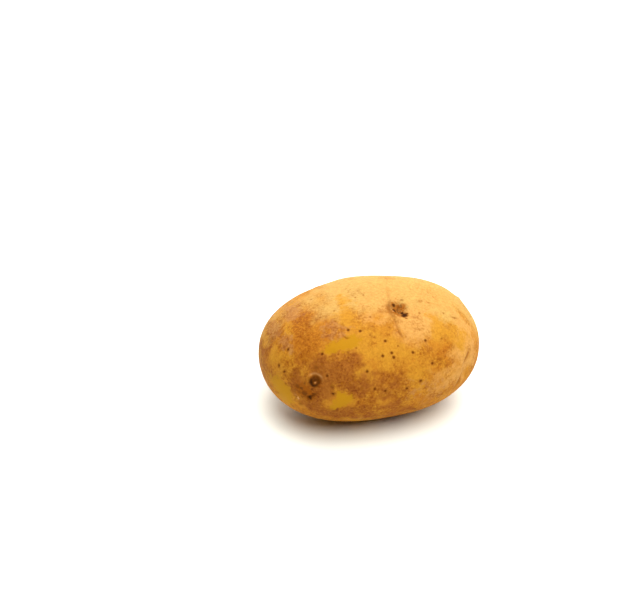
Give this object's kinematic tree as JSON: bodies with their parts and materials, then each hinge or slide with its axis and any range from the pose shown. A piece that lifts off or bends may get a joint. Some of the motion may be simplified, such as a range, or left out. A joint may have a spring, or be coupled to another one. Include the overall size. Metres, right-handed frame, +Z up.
{
  "type": "potato",
  "caption": "Oval, slightly flattened potato with thin yellow-brown skin, shallow eyes and a stem scar, for food, kitchen and market scenes.",
  "frame": {"origin": "on the surface that the tuber lies on, under the middle of its box", "axes": "+Z up, +X along the tuber towards the rose end where the eyes crowd together, -X towards the stolon end with its scar"},
  "size_m": [0.091, 0.068, 0.052],
  "materials": {
    "potato_skin": "satin"
  },
  "bodies": {
    "root": {"potato": "potato_skin"}
  },
  "joints": []
}
